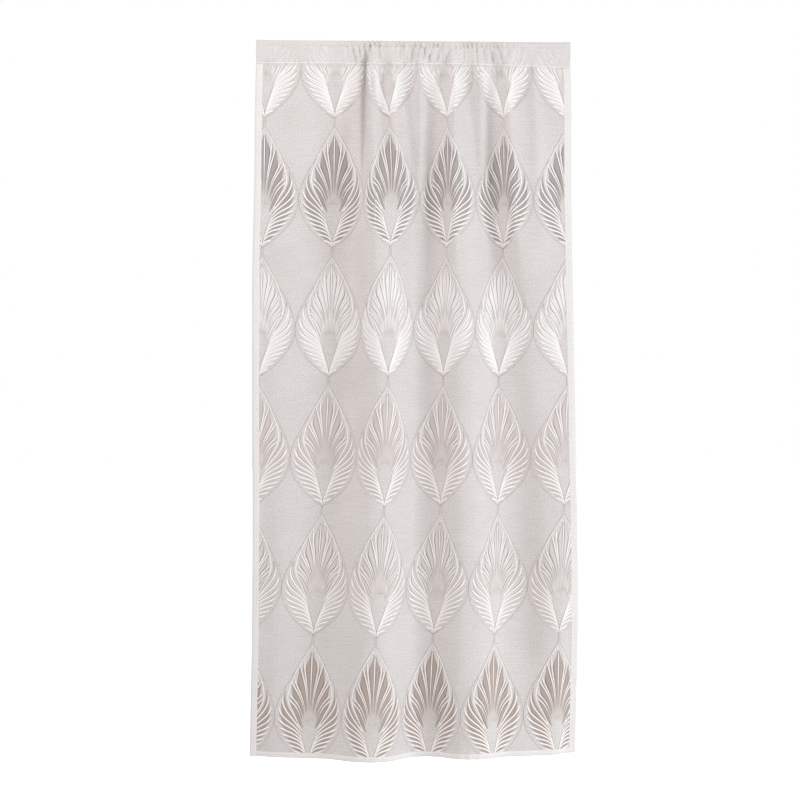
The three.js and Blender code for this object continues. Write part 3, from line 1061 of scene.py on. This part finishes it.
def new_tree(name, inputs):
    """A tree that takes and gives geometry, with its other inputs by name, kind and value."""
    nodes = Nodes(bpy.data.node_groups.new(name, "GeometryNodeTree"))
    sides = nodes.tree.interface
    sides.new_socket(name="Start", in_out="INPUT", socket_type="NodeSocketGeometry")
    for label, kind, value in inputs:
        socket = sides.new_socket(name=label, in_out="INPUT", socket_type=kind)
        if value is not None:
            socket.default_value = value
    sides.new_socket(name="Geometry", in_out="OUTPUT", socket_type="NodeSocketGeometry")
    return nodes, nodes.node("NodeGroupInput").outputs


def end_tree(nodes, instances, finish):
    """End a tree in plain mesh with its material, because the export drops instances."""
    real = nodes.node("GeometryNodeRealizeInstances", {}, {"Geometry": instances})
    sockets = {"Geometry": real.outputs["Geometry"], "Material": finish}
    dressed = nodes.node("GeometryNodeSetMaterial", {}, sockets)
    nodes.node("NodeGroupOutput", {}, {"Geometry": dressed.outputs["Geometry"]})
    print(nodes.tree.name, "nodes:", len(nodes.tree.nodes))
    return nodes.tree


def repeat_tree():
    nodes, given = new_tree("WeaveRepeat", [
        ("Motif", "NodeSocketObject", None),
        ("Columns", "NodeSocketInt", COLUMNS),
        ("Rows", "NodeSocketInt", 1),
        ("Column Pitch", "NodeSocketFloat", COLUMN_PITCH),
        ("Row Pitch", "NodeSocketFloat", ROW_PITCH),
        ("Finish", "NodeSocketMaterial", None),
    ])

    def span(count, pitch):
        return (nodes.value(given[count]) - 1.0) * nodes.value(given[pitch])

    grid = nodes.node("GeometryNodeMeshGrid", {}, {
        "Vertices X": given["Columns"], "Vertices Y": given["Rows"],
        "Size X": span("Columns", "Column Pitch"), "Size Y": span("Rows", "Row Pitch"),
    })
    motif = nodes.node("GeometryNodeObjectInfo", {}, {"Object": given["Motif"]})
    leaves = nodes.node("GeometryNodeInstanceOnPoints", {}, {
        "Points": grid.outputs["Mesh"], "Instance": motif.outputs["Geometry"],
    })
    return end_tree(nodes, leaves.outputs["Instances"], given["Finish"])


def run_tree(tree, start, values):
    """A plain mesh from a tree that is put on an object, with its inputs set by identifier."""
    modifier = start.modifiers.new(tree.name, "NODES")
    modifier.node_group = tree
    for item in tree.interface.items_tree:
        if item.in_out == "INPUT" and item.name in values:
            modifier[item.identifier] = values[item.name]
    shown = start.evaluated_get(bpy.context.evaluated_depsgraph_get())
    mesh = bpy.data.meshes.new_from_object(shown)
    start.modifiers.remove(modifier)
    return mesh


def mesh_points(mesh):
    points = np.zeros(len(mesh.vertices) * 3)
    mesh.vertices.foreach_get("co", points)
    return points.reshape(-1, 3)


def set_points(mesh, points):
    mesh.vertices.foreach_set("co", points.ravel())
    mesh.update()


weave_repeat = repeat_tree()

# %% [markdown]
# ## Hang the leaves on the folds
# The grain of the cloth drifts a little sideways on its way down, so the columns of leaves drift
# with it. The hems and the edges of the cloth cut the leaves off. Then every point goes from the
# flat cloth to its place on the folds, by the same function that hangs the cloth, and above the
# seam onto the front of the pocket.

# %% Finishes of yarn and filling
GROUND_TONE = tone(230, 224, 221)
HEADER_TONE = tone(222, 218, 216)
YARN_GRAIN = (2600.0, 900.0, 1.0)
FILL_GRAIN = (240.0, 1500.0, 1.0)
SEWING_GRAIN = (3000.0, 3000.0, 1.0)
PATCH_GRAIN = 30.0


def spun(name, light, dark, grain=YARN_GRAIN, shine=0.3, painted_rim_shade=None, faded=GROUND_TONE, painted_glow=0.0):
    """Yarn or filling thread, with fibres that vary in tone; rim is the tone of painted shade at the
    edge of a lens beside the ribs, and faded the tone into which a rib or lens goes over at its root.
    With bright, the thread also gets a small emission, a painted glow that no lamp gives it."""
    thread = Finish(name)
    flat = thread.flat_cloth()
    fibre = thread.noise(thread.stretched(flat, grain))
    patch = thread.noise(flat, PATCH_GRAIN)
    share = (fibre - 0.5) * 1.6 + (patch - 0.5) * 0.9 + 0.5
    colour = thread.blend(share.between(0.0, 1.0), tone(*dark), tone(*light))
    near = thread.value(thread.node("ShaderNodeAttribute", {"attribute_name": RIM_NAME}).outputs["Fac"])
    # Towards the edge of a lens the colour goes over into a tone of painted shade.
    if painted_rim_shade is not None:
        rim_shade_weight = near.between(0.0, 1.0)
        colour = thread.blend(rim_shade_weight * rim_shade_weight * rim_shade_weight, colour, tone(*painted_rim_shade))
    gone = (near * -1.0).between(0.0, 1.0)
    thread.dress({
        "Base Color": thread.blend(gone, colour, faded),
        "Roughness": (fibre - 0.5) * 0.3 + 0.62,
        "Normal": thread.bump(fibre, 0.4, 0.0003),
        "Sheen Weight": 0.1,
        "Specular IOR Level": shine,
    })
    # A small emission gives the thread a painted glow, brighter than the lamps light it.
    if painted_glow > 0.0:
        thread.dress({"Emission Color": thread.blend(gone, WHITE, BLACK), "Emission Strength": painted_glow})
    return thread.material


def lens_finish(name, light, dark, painted_rim_shade, faded=GROUND_TONE):
    return spun(name, light, dark, FILL_GRAIN, painted_rim_shade=painted_rim_shade, faded=faded)


# The white yarn carries a painted glow as well as its white tone.
white_yarn = spun("white_yarn", (250, 248, 246), (236, 232, 230), shine=0.4, painted_glow=0.09)
# The contour thread is partly a woven contour and partly a dark line of painted shade beside the raised
# yarn.
contour_yarn = spun("contour_yarn", (196, 186, 183), (172, 160, 157))
# The last tone of each filling is the painted shade at its rim, beside the ribs.
grey_fill = lens_finish("grey_fill", (186, 178, 176), (164, 155, 153), (112, 102, 99))
pale_fill = lens_finish("pale_fill", (220, 211, 209), (205, 195, 193), (152, 140, 137))
warm_fill = lens_finish("warm_fill", (192, 177, 169), (170, 154, 146), (130, 113, 104))
white_fill = lens_finish("white_fill", (246, 243, 242), (234, 230, 229), (126, 114, 111))
# The fifth row's fillings are a little darker than the white rows above, a painted shade toward the foot of
# the curtain.
dusk_fill = lens_finish("dusk_fill", (230, 223, 220), (216, 208, 205), (108, 94, 90))
header_yarn = spun("header_yarn", (240, 237, 235), (228, 224, 222), faded=HEADER_TONE)
header_fill = lens_finish("header_fill", (226, 223, 221), (214, 209, 206), (204, 198, 195), HEADER_TONE)
# The contour thread above the seam is also partly a woven contour and partly painted shade beside the yarn.
header_line = spun("header_line", (212, 206, 203), (200, 193, 190), faded=HEADER_TONE)
# The sewing thread carries a painted glow as well.
sewing = spun("sewing", (255, 254, 253), (246, 245, 244), SEWING_GRAIN, painted_glow=0.12)
print("finishes:", len(bpy.data.materials))

# %% Clip and hang a flat mesh
GRAIN_LEVELS = [0.0, 600.0, 900.0, 1200.0, 1500.0, 1800.0]
FIRST_COLUMN = [25.0, 24.0, 15.0, 0.0, -19.0, -24.0]
PATTERN_TOP = 13.5
PATTERN_LEFT = SIDE_HEM + 0.6
PATTERN_RIGHT = FLAT_WIDTH - SIDE_HEM - 0.6
PATTERN_FOOT = DROP - BOTTOM_HEM - 0.8
HEADER_PRESSED = 0.6
CUT_DISTANCE = 1e-4


def hang_all(flat, below, lift, pressed=1.0):
    """As hang, and above the seam on the front of the pocket, with the lift times pressed."""
    on_panel = hang(flat, np.maximum(below, POCKET_DEPTH), lift)
    x, seam_out = seam_line_out(flat)
    seam = seam_below(x)
    share = np.clip((below - ROD_CENTRE) / (seam - ROD_CENTRE), 0.0, 1.0)
    out = pocket_cloth(1, x, seam_out, share, below)
    turns = (np.interp(flat, FLATS, table[0]) for table in (LEAN_X, LEAN_OUT))
    pocket_x, pocket_out = lifted(x, out, *turns, lift * pressed)
    return np.where((below < seam)[..., None], placed(pocket_x, pocket_out, below), on_panel)


def clip_flat(mesh):
    """Cut a flat mesh at the four edges of the pattern, closing each cut."""
    shape = bmesh.new()
    shape.from_mesh(mesh)
    for place, outward in (
        ((PATTERN_LEFT, 0, 0), (-1, 0, 0)), ((PATTERN_RIGHT, 0, 0), (1, 0, 0)),
        ((0, -PATTERN_TOP, 0), (0, 1, 0)), ((0, -PATTERN_FOOT, 0), (0, -1, 0)),
    ):
        everything = shape.verts[:] + shape.edges[:] + shape.faces[:]
        cut = bmesh.ops.bisect_plane(shape, geom=everything, dist=CUT_DISTANCE, plane_co=place,
                                     plane_no=outward, clear_outer=True)
        edges = [item for item in cut["geom_cut"] if isinstance(item, bmesh.types.BMEdge)]
        bmesh.ops.holes_fill(shape, edges=[edge for edge in edges if edge.is_boundary])
    shape.to_mesh(mesh)
    shape.free()


def weave_piece(name, motif, first_row, rows, row_step, finish, above_seam):
    """Leaves in one finish, from the repeat to their hung place, and in another above the seam."""
    start = add_object(name + "_start", bpy.data.meshes.new(name + "_start"))
    mesh = run_tree(weave_repeat, start, {
        "Motif": motif, "Columns": COLUMNS, "Rows": rows, "Column Pitch": COLUMN_PITCH,
        "Row Pitch": ROW_PITCH * row_step, "Finish": finish,
    })
    bpy.data.objects.remove(start)
    points = mesh_points(mesh)
    points[:, 1] -= FIRST_TIP + ROW_PITCH * (first_row + row_step * (rows - 1) / 2)
    points[:, 0] += COLUMN_PITCH * (COLUMNS - 1) / 2
    points[:, 0] += np.interp(-points[:, 1], GRAIN_LEVELS, FIRST_COLUMN)
    set_points(mesh, points)
    clip_flat(mesh)
    points = mesh_points(mesh)
    corners = map_flat_cloth(mesh, points[:, :2] * MM)
    mesh.materials.clear()
    mesh.materials.append(finish)
    mesh.materials.append(above_seam)
    starts = np.zeros(len(mesh.polygons), dtype=np.int32)
    mesh.polygons.foreach_get("loop_start", starts)
    in_header = points[corners[starts], 1] > -(POCKET_DEPTH + SEAM_DIP / 2)
    mesh.polygons.foreach_set("material_index", in_header.astype(np.int32))
    set_points(mesh, hang_all(points[:, 0], -points[:, 1], points[:, 2], HEADER_PRESSED))
    mesh.name = name
    print(name, "triangles:", count_triangles(mesh))
    return add_object(name, mesh)


leaf_pieces = {
    "white_cord": [
        weave_piece("leaf_yarn_upper", yarn_motif, 0, 3, 1, white_yarn, header_yarn),
        weave_piece("leaf_yarn_lower", yarn_motif, 3, 3, 1, white_yarn, header_yarn),
        weave_piece("leaf_fill_white", fill_motif, 0, 2, 2, white_fill, header_fill),
        weave_piece("leaf_fill_dusk", fill_motif, 4, 1, 1, dusk_fill, header_fill),
    ],
    "taupe_fill": [
        weave_piece("leaf_fill_grey", fill_motif, 1, 1, 1, grey_fill, header_fill),
        weave_piece("leaf_fill_pale", fill_motif, 3, 1, 1, pale_fill, header_fill),
        weave_piece("leaf_fill_warm", fill_motif, 5, 1, 1, warm_fill, header_fill),
        weave_piece("leaf_contours", contour_motif, 0, 6, 1, contour_yarn, header_line),
    ],
}
for motif in (yarn_motif, contour_motif, fill_motif):
    bpy.data.objects.remove(motif)

# %% [markdown]
# ## Sew the seams
# A machine stitch is a short loop of thread that sinks into the cloth at both ends. A node tree
# walks along each seam line, drops one small bead of thread at every stitch and turns it along
# the seam. The lines run on the front and on the back of the cloth.

# %% The node tree of a line of stitches
STITCH_PITCH = 0.0036
STITCH_LENGTH = 0.0031
SEAM_STITCH_HALF = 0.00105
HEM_STITCH_HALF = 0.0005


def stitch_tree():
    nodes, given = new_tree("StitchLine", [
        ("Pitch", "NodeSocketFloat", STITCH_PITCH),
        ("Length", "NodeSocketFloat", STITCH_LENGTH),
        ("Half Width", "NodeSocketFloat", HEM_STITCH_HALF),
        ("Finish", "NodeSocketMaterial", None),
    ])
    line = nodes.node("GeometryNodeMeshToCurve", {}, {"Mesh": given["Start"]})
    walk = nodes.node("GeometryNodeResampleCurve", {"mode": "LENGTH"}, {
        "Curve": line.outputs["Curve"], "Length": given["Pitch"],
    })
    along = nodes.node("GeometryNodeInputTangent")
    turn = nodes.node("FunctionNodeAlignRotationToVector", {"axis": "X"}, {
        "Vector": along.outputs["Tangent"],
    })
    bead = nodes.node("GeometryNodeMeshUVSphere", {}, {"Segments": 6, "Rings": 4, "Radius": 1.0})
    size = nodes.node("ShaderNodeCombineXYZ", {}, {
        "X": nodes.value(given["Length"]) * 0.5, "Y": given["Half Width"], "Z": given["Half Width"],
    })
    beads = nodes.node("GeometryNodeInstanceOnPoints", {}, {
        "Points": walk.outputs["Curve"], "Instance": bead.outputs["Mesh"],
        "Rotation": turn.outputs["Rotation"], "Scale": size.outputs["Vector"],
    })
    return end_tree(nodes, beads.outputs["Instances"], given["Finish"])


stitch_line = stitch_tree()
FACES_IN_STITCH = 24


def sew(name, lines, half_width):
    """Stitches along lines of points, in metres, as one piece."""
    points = []
    edges = []
    for line in lines:
        edges += [(len(points) + k, len(points) + k + 1) for k in range(len(line) - 1)]
        points += line.tolist()
    mesh = bpy.data.meshes.new(name + "_line")
    mesh.from_pydata(points, edges, [])
    seam = add_object(name + "_line", mesh)
    thread = run_tree(stitch_line, seam, {
        "Pitch": STITCH_PITCH, "Length": STITCH_LENGTH, "Half Width": half_width, "Finish": sewing,
    })
    bpy.data.objects.remove(seam)
    while thread.uv_layers:
        thread.uv_layers.remove(thread.uv_layers[0])
    map_flat_cloth(thread, mesh_points(thread)[:, [0, 2]])
    shade_smooth(thread)
    thread.name = name
    print(name, "stitches:", len(thread.polygons) // FACES_IN_STITCH)
    return add_object(name, thread)


# %% Sew the pocket, the side hems and the bottom hem
SEAM_RISE = 1.6
HEM_STITCH = 15.0
HEM_FOOT = DROP - BOTTOM_HEM + 2.0
SEAM_POINTS = 900
HEM_POINTS = 600
THREAD_SITS = 0.15
BACK_THREAD_SITS = 0.45
seam_flat = np.linspace(2.0, FLAT_WIDTH - 2.0, SEAM_POINTS)
seam_place = seam_below(np.interp(seam_flat, FLATS, HUNG_X[0])) - SEAM_RISE
seam_lines = [
    hang_all(seam_flat, seam_place, LACE_THICK / 2 + THREAD_SITS),
    hang_all(seam_flat, seam_place, -(SEAM_SLIT + LACE_THICK * 1.5 + BACK_THREAD_SITS)),
]
pocket_stitches = sew("pocket_stitches", seam_lines, SEAM_STITCH_HALF)

hem_below = np.linspace(POCKET_DEPTH + 8.0, HEM_FOOT, HEM_POINTS)
hem_flat = np.linspace(HEM_STITCH, FLAT_WIDTH - HEM_STITCH, HEM_POINTS)
hem_face = HEM_THICK / 2 + THREAD_SITS
hem_lines = []
for face in (hem_face, -hem_face):
    for side in (HEM_STITCH, FLAT_WIDTH - HEM_STITCH):
        hem_lines.append(hang(side, hem_below, face))
    hem_lines.append(hang(hem_flat, HEM_FOOT, face))
hem_stitches = sew("hem_stitches", hem_lines, HEM_STITCH_HALF)

# %% [markdown]
# ## Light, floor and camera
# The curtain is looked at from about five metres away, a little left of its middle, at half its
# height. Even pale light comes from all round, a broad soft lamp at the right front gives the
# folds their shade, and a weak one high at the left front opens the shade near the top. The floor
# and the air behind are white, so only the cloth is seen.

# %% Set the stage
CAMERA_DISTANCE = 5.0
CAMERA_YAW = math.radians(2.5)
FRAME_WIDTH = 2.010
FILM_WIDTH = 36.0
AIM = (-0.0355, 0.0, -0.9015)
FLOOR_BELOW = 2.1
FLOOR_SIZE = 60.0
AIR_TONE = (1.0, 0.982, 0.974, 1.0)
AIR_STRENGTH = 0.75
FLOOR_TONE = (0.9, 0.9, 0.9, 1.0)

scene = bpy.context.scene
scene.view_settings.view_transform = "Standard"
lens = bpy.data.cameras.new("camera")
lens.sensor_width = FILM_WIDTH
lens.lens = FILM_WIDTH * CAMERA_DISTANCE / FRAME_WIDTH
lens.clip_end = FLOOR_SIZE
camera = add_object("camera", lens)
camera.location = (
    AIM[0] - CAMERA_DISTANCE * math.sin(CAMERA_YAW),
    AIM[1] - CAMERA_DISTANCE * math.cos(CAMERA_YAW),
    AIM[2],
)
camera.rotation_euler = (math.pi / 2, 0.0, -CAMERA_YAW)
scene.camera = camera

# The air lights the cloth in one tone, and the camera sees it as plain white
scene.world = bpy.data.worlds.new("pale_air")
scene.world.use_nodes = True
air = Nodes(scene.world.node_tree)
around = air.tree.nodes["Background"]
air.feed(around.inputs["Color"], AIR_TONE)
air.feed(around.inputs["Strength"], AIR_STRENGTH)
seen = air.node("ShaderNodeBackground", {}, {"Color": WHITE})
ray = air.node("ShaderNodeLightPath")
either = air.node("ShaderNodeMixShader", {}, {
    "Fac": ray.outputs["Is Camera Ray"], 1: around.outputs["Background"], 2: seen.outputs["Background"],
})
air.feed(air.tree.nodes["World Output"].inputs["Surface"], either.outputs["Shader"])

floor_finish = Finish("pale_floor")
floor_finish.dress({"Base Color": FLOOR_TONE, "Emission Color": WHITE, "Emission Strength": AIR_STRENGTH})
bpy.ops.mesh.primitive_plane_add(size=FLOOR_SIZE, location=(0.0, 0.0, -FLOOR_BELOW))
floor = bpy.context.object
floor.name = "floor"
floor.data.materials.append(floor_finish.material)
floor.visible_diffuse = False


def lamp(name, place, aim, width, power, colour):
    """A square lamp at a place, turned towards its aim."""
    light = bpy.data.lights.new(name, "AREA")
    light.shape = "SQUARE"
    light.size = width
    light.energy = power
    light.color = colour
    piece = add_object(name, light)
    piece.location = place
    way = np.array(aim) - np.array(place)
    tilt = math.atan2(math.hypot(way[0], way[1]), -way[2])
    piece.rotation_euler = (tilt, 0.0, math.atan2(way[1], way[0]) - math.pi / 2)


lamp("key_lamp", (4.2, -2.0, -1.1), (0.0, 0.0, -1.0), width=1.5, power=84.0, colour=(0.9, 0.96, 1.0))
lamp("fill_lamp", (-1.6, -1.5, 0.9), (0.0, 0.0, -0.3), width=1.2, power=17.0, colour=(1.0, 0.93, 0.93))
print("camera:", tuple(round(v, 3) for v in camera.location), "lens:", round(lens.lens, 1))

# %% [markdown]
# ## Attach the pieces
# Every piece rides on the one body of the imported model. The cloth pieces stand for the plain
# solids lace_panel and rod_pocket of the imported model, which are hidden.

# %% Attach the pieces and hide the solids that they stand for
leaves = [piece for pieces in leaf_pieces.values() for piece in pieces]
everything = [panel, heading, pocket_stitches, hem_stitches, *leaves]
for piece in everything:
    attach(piece, "root")
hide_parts("lace_panel")
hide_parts("rod_pocket")
triangles_in_all = sum(count_triangles(piece.data) for piece in everything)
print("pieces:", len(everything), "triangles in all:", triangles_in_all)
